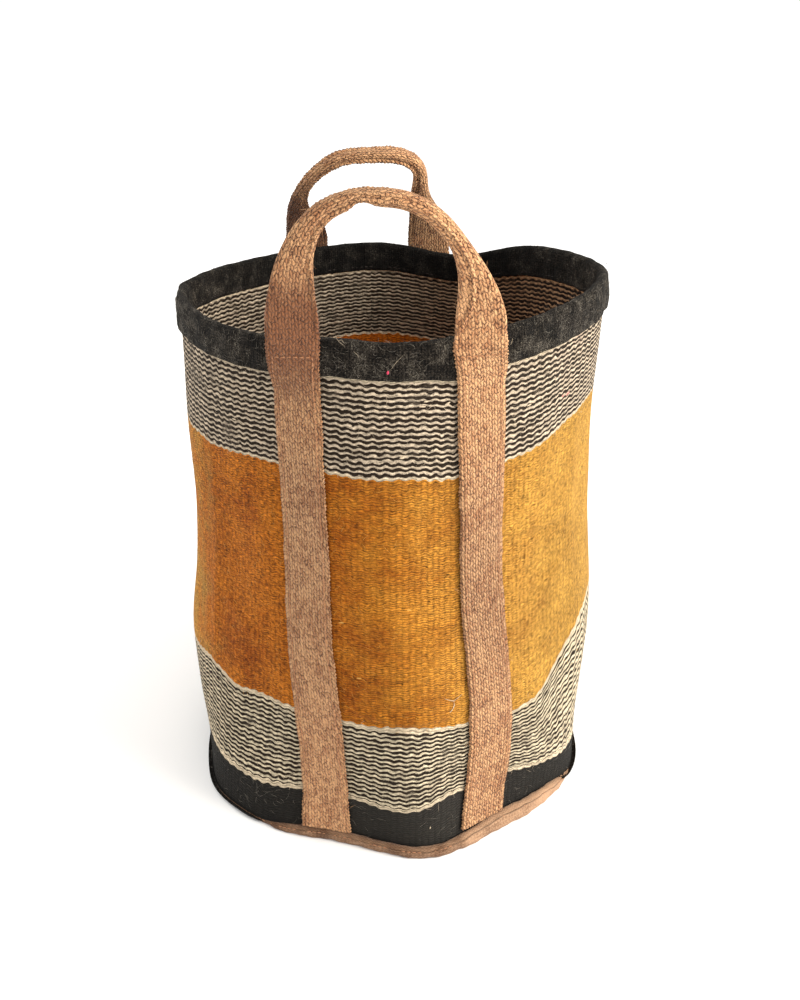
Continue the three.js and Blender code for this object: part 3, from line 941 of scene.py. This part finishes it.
def jute_edge(look):
    """Jute tape rolled round the edge of the base, flatter on the right and tucked under on the left"""
    lap_angle, lap_step, lap_reach, lap = EDGE_LAP

    def place(s, t):
        turn = 2 * np.pi * t
        angle = around(s)
        cos, sin = np.cos(turn), np.sin(turn)
        half = edge_height(angle) / 2
        up = np.sign(sin) * np.abs(sin) ** EDGE_POWER
        out = GAP + edge_reach(angle) - EDGE / 2 * (1 - np.sign(cos) * np.abs(cos) ** EDGE_POWER)
        out = out + EDGE_FLARE[2] * mound(angle, *EDGE_FLARE[:2]) * (1 - up) / 2
        beyond = turn_between(angle, lap_angle)
        lapped = lap * smooth(beyond / lap_step) * (1 - smooth(beyond / lap_reach))
        point = skin(angle, half * (1 + up), out + lumps(EDGE_LUMPS, angle, turn) + lapped)
        point[:, 2] += lapped * np.maximum(up, 0)
        return point, np.stack([s * GIRTH, t * EDGE_TAPE], axis=-1)

    shell = bend_grid(400, 24, place)
    turn_out(shell)
    piece = add_piece("jute_edge", shell, look)
    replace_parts(piece, "base_binding")
    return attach(piece, "bag")


SECTION_POINTS = 64
SECTION_SAMPLES = 721
ROW_STEP = 0.001
EASING = 40  # times that the rows of a strap are eased into each other
FLAT_POWER = 9
GRIP_POWER = 2.7
ARCH_SAMPLES = 2001
PINCH_SHARE = 0.455  # where a grip is pinched thin from below, as a share of its arch
PINCH_SPREAD = 0.026


def along_path(points):
    """How far along a path each of its points lies"""
    return np.concatenate([[0], np.cumsum(np.linalg.norm(np.diff(points, axis=0), axis=1))])


def section(width, depth, power, shares):
    """Points at shares of the way round a rounded section, from its inner face's middle, and its girth"""
    turn = np.linspace(0, 2 * np.pi, SECTION_SAMPLES)
    sin, cos = np.sin(turn), np.cos(turn)
    x = width / 2 * np.sign(sin) * np.abs(sin) ** (2 / power)
    y = -depth / 2 * np.sign(cos) * np.abs(cos) ** (2 / power)
    run = along_path(np.stack([x, y], axis=-1))
    return np.interp(shares * run[-1], run, x), np.interp(shares * run[-1], run, y), run[-1]


def arch_row(strap, share, shares):
    """One row of points round a handle, in the bag's frame"""
    middle = arch_point(strap, np.array(share))
    before, after = (arch_point(strap, np.clip(np.array(share + step), 0, 1)) for step in (-0.002, 0.002))
    along = unit(after - before)
    outward = np.array([-along[1], along[0]])
    folded = float(smooth(middle[1] / strap["taper"][0 if share < 0.5 else 1]))
    power = mix(FLAT_POWER, GRIP_POWER, float(smooth(folded * 2)))
    full = mix(*strap["grip"], share)
    width = mix(WEBBING_WIDTH, GRIP_HEIGHT * full, folded)
    depth = mix(WEBBING, GRIP_DEPTH * full, folded)
    pinched = width * strap["pinch"] * math.exp(-(((share - PINCH_SHARE) / PINCH_SPREAD) ** 2))
    x, y, girth = section(width - pinched, depth, power, shares)
    x = x - pinched / 2
    local = np.stack(
        [middle[0] - outward[0] * x, -strap["side"] * (WEBBING / 2 - y), middle[1] - outward[1] * x], axis=-1
    )
    return local @ strap["matrix"][:3, :3].T + strap["matrix"][:3, 3], girth


def strap_rows(strap, shares):
    """The strap row by row, from the foot of its left leg, over the handle, to the foot of its right leg"""
    x, y, flat_girth = section(WEBBING_WIDTH, WEBBING, FLAT_POWER, shares)
    legs = []
    for leg in strap["legs"]:
        foot = GAP + float(edge_height(leg_angle(leg, 0)))
        levels = np.linspace(foot, LOOP_LEVEL, round((LOOP_LEVEL - foot) / ROW_STEP))[:, None]
        across, out, level = np.broadcast_arrays(-leg["hand"] * x, y + WEBBING / 2, levels)
        legs.append(leg_point(strap, leg, across, out, level))
    left, right = legs
    fine = np.linspace(0, 1, ARCH_SAMPLES)
    path = arch_point(strap, fine)
    run = along_path(path)
    arch_shares = np.interp(np.arange(0, run[-1], ROW_STEP), run, fine)
    arch = [arch_row(strap, share, shares) for share in arch_shares]
    rows = np.concatenate([left, [points for points, _ in arch], right[::-1]])
    girths = [flat_girth] * len(left) + [girth for _, girth in arch] + [flat_girth] * len(right)
    return rows, np.array(girths)


def settle(rows, times):
    """Eases the rows of a strap into each other, and leaves its two ends where they are"""
    for _ in range(times):
        rows[1:-1] = rows[:-2] / 4 + rows[1:-1] / 2 + rows[2:] / 4
    return rows


# Where the webbing's two woven edges lie round the section of each strap: shares of the way along the
# strap, and of the way round from the middle of its inner face
SELVEDGE_STOPS = (0, 0.375, 0.42, 0.46, 0.5, 0.54, 0.57, 0.6, 0.625, 1)
SELVEDGES = {
    "front": (
        (0.25, 0.25, 0.30, 0.38, 0.45, 0.50, 0.53, 0.42, 0.25, 0.25),
        (0.75, 0.75, 0.80, 0.86, 0.90, 0.92, 0.92, 0.86, 0.75, 0.75),
    ),
    "rear": (
        (0.25, 0.25, 0.20, 0.12, 0.08, 0.10, 0.16, 0.22, 0.25, 0.25),
        (0.75, 0.75, 0.70, 0.63, 0.60, 0.58, 0.64, 0.70, 0.75, 0.75),
    ),
}
LUMP_PITCH = 0.0036
LUMP_REACH = 0.0014
LUMP_WIDTH = 0.0014
FURROW = (0.0032, 0.0012, 0.0008)  # beside each woven edge: how far from it, width, depth
STRAP_WAVES = ((95, 1, 1), (211, 0, 0.7), (437, 2, 0.5))  # along a strap's faces: waves, start, share
STRAP_WAVE = 0.00022


def selvedges(name, shares, run, girths):
    """How far each point of a strap stands out: lumps along its two edges, a furrow beside each, and waves"""
    total = np.zeros((len(run), len(shares)))
    furrow_at, furrow_width, furrow_depth = FURROW
    for side, stops in enumerate(SELVEDGES[name]):
        place = np.interp(run / run[-1], SELVEDGE_STOPS, stops)[:, None]
        across = ((shares - place + 0.5) % 1 - 0.5) * girths[:, None]
        lump = 0.35 + np.abs(np.sin(np.pi * (run[:, None] + 0.9 * across) / LUMP_PITCH + side))
        uneven = 1 + 0.3 * np.sin(run[:, None] * 310 + 4 * side) * np.sin(run[:, None] * 173)
        total += LUMP_REACH * uneven * lump * np.exp(-((across / LUMP_WIDTH) ** 2))
        total -= furrow_depth * np.exp(-(((np.abs(across) - furrow_at) / furrow_width) ** 2))
    waves = sum(share * np.sin(run * count + start) for count, start, share in STRAP_WAVES)
    return total + STRAP_WAVE * waves[:, None] * np.cos(2 * np.pi * shares) ** 2


def outward_normals(rows):
    """The normals of a tube's skin, row by row"""
    across = np.roll(rows, -1, axis=1) - np.roll(rows, 1, axis=1)
    normals = unit(np.cross(np.gradient(rows, axis=0), across))
    from_middle = rows - rows.mean(axis=1, keepdims=True)
    return normals if (normals * from_middle).sum(axis=-1).mean() > 0 else -normals


def webbing_strap(name, look):
    """One length of webbing: up one face of the bag, over as a handle folded to a grip, and down again"""
    strap = STRAPS[name]
    shares = np.arange(SECTION_POINTS + 1) / SECTION_POINTS
    rows, girths = strap_rows(strap, shares)
    rows = settle(rows, EASING)
    middle = rows[:, SECTION_POINTS // 2]
    run = along_path(middle)
    last = len(rows) - 1
    normals = outward_normals(rows[:, :-1])
    rows = rows[:, :-1] + normals * selvedges(name, shares[:-1], run, girths)[..., None]
    strap["skin"], strap["normals"] = rows, normals

    def place(s, t):
        i, j = np.rint(s * SECTION_POINTS).astype(int), np.rint(t * last).astype(int)
        return rows[j, i % SECTION_POINTS], np.stack([(s - 0.5) * girths[j], run[j]], axis=-1)

    shell = bend_grid(SECTION_POINTS, last, place)
    turn_out(shell)
    piece = add_piece(name + "_strap", shell, look)
    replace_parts(piece, f"{name}_strap_left_leg", f"{name}_strap_right_leg", f"{name}_handle")
    return hinge_on(piece)


def strap_hairs(name, chance, count, look):
    """Jute hairs that stand off a strap: each grows from a point of its skin, out and a little along it"""
    skin_rows, normals = STRAPS[name]["skin"], STRAPS[name]["normals"]
    share = np.linspace(0, 1, FIBRE_STEPS)[:, None]
    paths = []
    for _ in range(count):
        j, i = chance.randrange(4, len(skin_rows) - 4), chance.randrange(SECTION_POINTS)
        along = unit(skin_rows[j + 2, i] - skin_rows[j - 2, i]) * chance.choice((-1, 1))
        aside = np.cross(along, normals[j, i]) * chance.uniform(-0.6, 0.6)
        length = chance.uniform(0.003, 0.009)
        stand = chance.uniform(0.15, 0.8)
        way = unit(along + aside + stand * normals[j, i])
        curl = (normals[j, i] + aside) * chance.uniform(-0.3, 0.5)
        paths.append(skin_rows[j, i] + length * (way * share + curl * share**2))
    return hinge_on(add_fibres(name + "_strap_hairs", paths, FIBRE, look))


def hinge_on(piece):
    """Bakes a piece's place into its mesh"""
    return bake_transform(piece)


def stitch(shell, start, end, radius):
    """One stitch: a rounded rod from start to end"""
    along = Vector(end - start)
    turn = along.to_track_quat("X", "Z").to_matrix().to_4x4()
    size = Matrix.Diagonal((along.length / 2 + radius, radius, radius, 1))
    middle = Matrix.Translation(Vector(start + end) / 2)
    bmesh.ops.create_uvsphere(shell, u_segments=6, v_segments=4, radius=1, matrix=middle @ turn @ size)


def stitches(name, path, look, replaced, body):
    """Running stitches along a path of points"""
    run = along_path(path)

    def at(want):
        return np.array([np.interp(want, run, path[:, axis]) for axis in range(3)])

    shell = bmesh.new()
    for start in np.arange(0, run[-1] - STITCH, STITCH_PITCH):
        stitch(shell, at(start), at(start + STITCH), STITCH_RADIUS)
    for face in shell.faces:
        face.smooth = True
    piece = add_piece(name, shell, look)
    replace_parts(piece, replaced)
    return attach(piece, body)


def leg_stitches(name, leg, look):
    """Up one edge of a leg, across at the rim and down the other edge"""
    strap = STRAPS[name]
    reach = WEBBING_WIDTH / 2 - THREAD_INSET
    top = BAG_HEIGHT - STITCH_BELOW_RIM
    levels = np.linspace(float(edge_height(leg_angle(leg, 0))) + THREAD_INSET, top, 120)
    width = np.linspace(-reach, reach, 12)
    across = np.concatenate([np.full_like(levels, -reach), width, np.full_like(levels, reach)])
    level = np.concatenate([levels, np.full_like(width, top), levels[::-1]])
    path = leg_point(strap, leg, across, np.full_like(across, WEBBING + THREAD_LIFT), level)
    hand = "left" if leg["hand"] < 0 else "right"
    return stitches(f"{name}_{hand}_leg_stitches", path, look, f"{name}_{hand}_leg_thread", "bag")


def grip_stitches(name, look):
    """The seam under the arch that holds the folded grip shut"""
    strap = STRAPS[name]
    fine = np.linspace(0, 1, 400)
    fine = fine[arch_point(strap, fine)[:, 1] >= GRIP_SEAM_HEIGHT]
    inner_edge = np.array([0.25])
    path = np.array([arch_row(strap, share, inner_edge)[0][0] for share in fine])
    return stitches(f"{name}_grip_stitches", path, look, f"{name}_grip_thread", f"{name}_handle")


ALL_ROUND = np.linspace(0, 360, 721)


def rim_stitches(look):
    path = skin(ALL_ROUND, BAND_LEVEL + THREAD_INSET, -CLOTH - GAP - BAND)
    return stitches("rim_hem_stitches", path, look, "rim_hem_thread", "bag")


def base_stitches(look):
    path = skin(ALL_ROUND, edge_height(ALL_ROUND) * 0.75, GAP + edge_reach(ALL_ROUND) - 0.0004)
    return stitches("base_seam_stitches", path, look, "base_seam_thread", "bag")


def side_seam_stitches(look):
    levels = np.linspace(EDGE_LEVEL + THREAD, BAND_LEVEL - THREAD, 200)
    path = skin(SEAM_ANGLE, levels, 0.0002)
    return stitches("side_seam_stitches", path, look, "side_seam_thread", "bag")


# Loose fibres, and knots of thick yarn in the weave

FIBRE_STEPS = 5
FIBRE = 0.0002
FIBRE_LIFT = 0.0002
FIBRE_LENGTHS = (0.004, 0.013)
KNOT_DEPTH = 0.0005
KNOT_FLATNESS = 0.75


def add_fibre(shell, path, thickness):
    """One loose fibre: a thin three-sided tube along a path of points, drawn out thin at its ends"""
    last = len(path) - 1
    along = unit(np.gradient(path, axis=0))
    side = unit(np.cross(along, (0.31, 0.53, 0.79)))
    up = np.cross(along, side)
    for vertex in bmesh.ops.create_grid(shell, x_segments=3, y_segments=last, size=0.5)["verts"]:
        i = round((vertex.co.y + 0.5) * last)
        turn = 2 * math.pi * (vertex.co.x + 0.5)
        reach = thickness / 2 * (0.35 + 0.65 * math.sin(math.pi * i / last))
        vertex.co = path[i] + reach * (math.cos(turn) * side[i] + math.sin(turn) * up[i])


def add_fibres(name, paths, thickness, look):
    shell = bmesh.new()
    for path in paths:
        add_fibre(shell, path, thickness)
    bmesh.ops.remove_doubles(shell, verts=shell.verts, dist=1e-7)
    turn_out(shell)
    return add_piece(name, shell, look)


def wool_fibres(name, chance, count, levels, out, look, lift=0.0012):
    """Curved fibres that lie on the cloth, each way, and stand off it a little in their middle"""
    paths = []
    for _ in range(count):
        angle, level = chance.uniform(-180, 180), chance.uniform(*levels)
        reach, heading = chance.uniform(*FIBRE_LENGTHS), chance.uniform(0, math.tau)
        bend = chance.uniform(-2.2, 2.2)
        stood = chance.uniform(FIBRE_LIFT, lift)
        share = np.linspace(0, 1, FIBRE_STEPS)
        way = heading + bend * share
        along = np.cumsum(np.cos(way)) * reach / FIBRE_STEPS
        up = np.cumsum(np.sin(way)) * reach / FIBRE_STEPS
        stand = out + stood * np.sin(np.pi * share * chance.uniform(0.6, 1.0))
        paths.append(skin(angle + np.degrees(along / (BAG_WIDTH / 2)), level + up, stand))
    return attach(add_fibres(name, paths, FIBRE, look), "bag")


def laid_fibre(points, out, spread=0.0003):
    """A fibre through points on the cloth: angle and level of each"""
    angles, levels = np.array(points).T
    fine = np.linspace(0, len(points) - 1, 4 * len(points))
    at = np.arange(len(points))
    stand = out + spread * np.sin(fine * 1.7) ** 2
    return skin(np.interp(fine, at, angles), np.interp(fine, at, levels), stand)


def yarn_knots(name, knots, out, look):
    """Places where the yarn is thick or unspun, as small lumps on the cloth"""
    shell = bmesh.new()
    for angle, level, length, height, slant in knots:
        middle = skin(angle, level, out)
        aside = unit(skin(angle + 1, level, out) - middle)
        outward = unit(middle * (1, 1, 0))
        lie = Matrix((aside, outward, (0, 0, 1))).transposed().to_4x4()
        turned = Matrix.Rotation(math.radians(slant), 4, "Y")
        size = Matrix.Diagonal((length, KNOT_DEPTH, height * KNOT_FLATNESS, 1))
        matrix = Matrix.Translation(Vector(middle)) @ lie @ turned @ size
        bmesh.ops.create_icosphere(shell, subdivisions=2, radius=1, matrix=matrix)
    for face in shell.faces:
        face.smooth = True
    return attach(add_piece(name, shell, look), "bag")


RIM_OUT = GAP + BAND + RIM_PUFF
LONG_FIBRE = ((3.4, 0.492), (2.0, 0.4875), (1.05, 0.4835), (0.3, 0.4794))
FORKED_FIBRE = (
    ((13.5, 0.1666), (15.2, 0.1625), (16.1, 0.1606), (18.6, 0.1644)),
    ((16.1, 0.1606), (16.2, 0.1565), (15.8, 0.1528), (14.8, 0.1505)),
)
RIM_WISPS = (
    ((-12.9, 0.5035), (-11.8, 0.499), (-10.4, 0.4955)),
    ((-12.2, 0.500), (-11.2, 0.501), (-10.6, 0.498)),
    ((-8.4, 0.4925), (-7.6, 0.4905), (-7.2, 0.4885)),
    ((31.8, 0.4905), (31.4, 0.487), (30.8, 0.484)),
)
CREAM_KNOTS = (  # angle, level, half length, half height, slant
    (7.9, 0.4453, 0.0034, 0.0011, 8),
    (14.4, 0.4445, 0.0030, 0.0013, -24),
    (8.9, 0.4492, 0.0022, 0.0010, 0),
    (-3.3, 0.4431, 0.0022, 0.0009, 20),
    (2.9, 0.4024, 0.0022, 0.0013, 0),
    (-12.0, 0.4277, 0.0024, 0.0009, 10),
    (-46, 0.415, 0.0026, 0.0010, 0),
    (39, 0.425, 0.0028, 0.0010, -8),
    (9.6, 0.0295, 0.0006, 0.0018, 12),
    (-6, 0.101, 0.0026, 0.0011, 12),
    (24, 0.09, 0.0024, 0.0010, 0),
    (-51, 0.096, 0.0028, 0.0010, -10),
)
MUSTARD_KNOTS = (
    (-7.9, 0.1886, 0.0026, 0.0010, -10),
    (-12.6, 0.2409, 0.0032, 0.0009, -14),
    (4.5, 0.262, 0.0024, 0.0008, 10),
    (46, 0.262, 0.0034, 0.0010, -40),
)
PINK_FLECKS = ((-0.4, 0.4770, 0.0010, 0.0023, 6),)
PINK_KNOTS = ((56.6, 0.4172, 0.0038, 0.0012, -12), (53.8, 0.4182, 0.0024, 0.0010, 0))


def loose_fibres():
    chance = random.Random(11)
    pale, cream = spun("pale_fibre", (0.17, 0.15, 0.12)), spun("cream_fibre", (0.50, 0.40, 0.28))
    golden, pink = spun("golden_fibre", (0.56, 0.29, 0.06)), spun("pink_fleck", (0.55, 0.05, 0.10))
    dark, rose = spun("dark_fibre", (0.03, 0.026, 0.022)), spun("pink_yarn", (0.50, 0.19, 0.16))
    rim, crown = (BAND_LEVEL, BAG_HEIGHT + 0.003), (0.490, 0.5035)
    wool_fibres("rim_fibres", chance, 900, rim, RIM_OUT, pale)
    wool_fibres("rim_fuzz", chance, 500, crown, 0.001, dark, 0.004)
    for name, count, low, high, look in (
        ("black_band_fibres", 260, 0.012, BLACK_TOP, pale),
        ("stripe_fibres", 420, MUSTARD_TOP, STRIPES_TOP, cream),
        ("low_stripe_fibres", 320, BLACK_TOP, LOW_STRIPES_TOP, cream),
        ("mustard_fibres", 1300, LOW_STRIPES_TOP, MUSTARD_TOP, golden),
    ):
        wool_fibres(name, chance, count, (low, high), FIBRE_LIFT, look)
    wisps = [laid_fibre(points, RIM_OUT + 0.0004) for points in (LONG_FIBRE, *RIM_WISPS)]
    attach(add_fibres("rim_wisps", wisps, 0.00028, cream), "bag")
    forks = [laid_fibre(points, 0.0006) for points in FORKED_FIBRE]
    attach(add_fibres("forked_fibre", forks, 0.0008, cream), "bag")
    yarn_knots("cream_knots", CREAM_KNOTS, 0.0, cream)
    yarn_knots("mustard_knots", MUSTARD_KNOTS, 0.0, golden)
    yarn_knots("pink_fleck", PINK_FLECKS, RIM_OUT + 0.0003, pink)
    yarn_knots("pink_knots", PINK_KNOTS, 0.0, rose)


# Floor, light and camera

CAMERA_PLACE = (0.00855, -1.2115, 0.8535)
CAMERA_PITCH = 25.73
FOCAL_SHARE = 1.31319  # focal length as a share of the picture's height
SENSOR = 36
LIGHT_AIM = (0, 0, 0.25)
FLOOR_SIZE = 30
WORLD_LIGHT = 1.08


def camera():
    data = bpy.data.cameras.new("camera")
    data.sensor_width = SENSOR
    data.lens = FOCAL_SHARE * SENSOR
    data.clip_end = 100
    eye = bpy.data.objects.new("camera", data)
    eye.location = CAMERA_PLACE
    eye.rotation_euler = (math.radians(90 - CAMERA_PITCH), 0, 0)
    bpy.context.scene.collection.objects.link(eye)
    bpy.context.scene.camera = eye


def area_light(name, place, size, power, colour):
    data = bpy.data.lights.new(name, "AREA")
    data.size = size
    data.energy = power
    data.color = colour
    lamp = bpy.data.objects.new(name, data)
    lamp.location = place
    lamp.rotation_euler = (Vector(LIGHT_AIM) - Vector(place)).to_track_quat("-Z", "Y").to_euler()
    bpy.context.scene.collection.objects.link(lamp)


def paper():
    """Pale matt paper"""
    material = bpy.data.materials.new("paper")
    material.use_nodes = True
    shader = material.node_tree.nodes["Principled BSDF"]
    shader.inputs["Base Color"].default_value = (0.95, 0.95, 0.95, 1)
    shader.inputs["Roughness"].default_value = 1
    shader.inputs["Specular IOR Level"].default_value = 0
    return material


def studio():
    shell = bmesh.new()
    bmesh.ops.create_grid(shell, x_segments=1, y_segments=1, size=FLOOR_SIZE)
    mesh = bpy.data.meshes.new("floor")
    shell.to_mesh(mesh)
    shell.free()
    mesh.materials.append(paper())
    floor = bpy.data.objects.new("floor", mesh)
    bpy.context.scene.collection.objects.link(floor)
    world = bpy.data.worlds.new("studio")
    bpy.context.scene.world = world
    world.use_nodes = True
    background = world.node_tree.nodes["Background"]
    background.inputs["Color"].default_value = (1, 0.99, 0.975, 1)
    background.inputs["Strength"].default_value = WORLD_LIGHT
    area_light("window", (2.9, -0.95, 1.6), 2.4, 187, (1, 0.965, 0.9))
    area_light("wall", (-2.3, 1.5, 1.0), 1.5, 40, (1, 0.97, 0.92))
    bpy.context.scene.view_settings.view_transform = "Standard"


camera()
studio()
jute_look, edge_look = webbing(), plain_jute()
thread_look, dark_thread_look = spun("thread", (0.38, 0.18, 0.09)), spun("dark_thread", (0.03, 0.022, 0.018))
hair_look = spun("jute_hair", (0.46, 0.26, 0.13))
wool_body(kilim(), kilim("kilim_inside_painted_light", inside=True))
felt_rim(felt())
jute_base(edge_look)
jute_edge(edge_look)
for name, strap in STRAPS.items():
    webbing_strap(name, jute_look)
    strap_hairs(name, random.Random(5), 420, hair_look)
    for leg in strap["legs"]:
        leg_stitches(name, leg, thread_look)
    grip_stitches(name, thread_look)
loose_fibres()
side_seam_stitches(dark_thread_look)
rim_stitches(dark_thread_look)
base_stitches(thread_look)

bpy.context.view_layer.update()
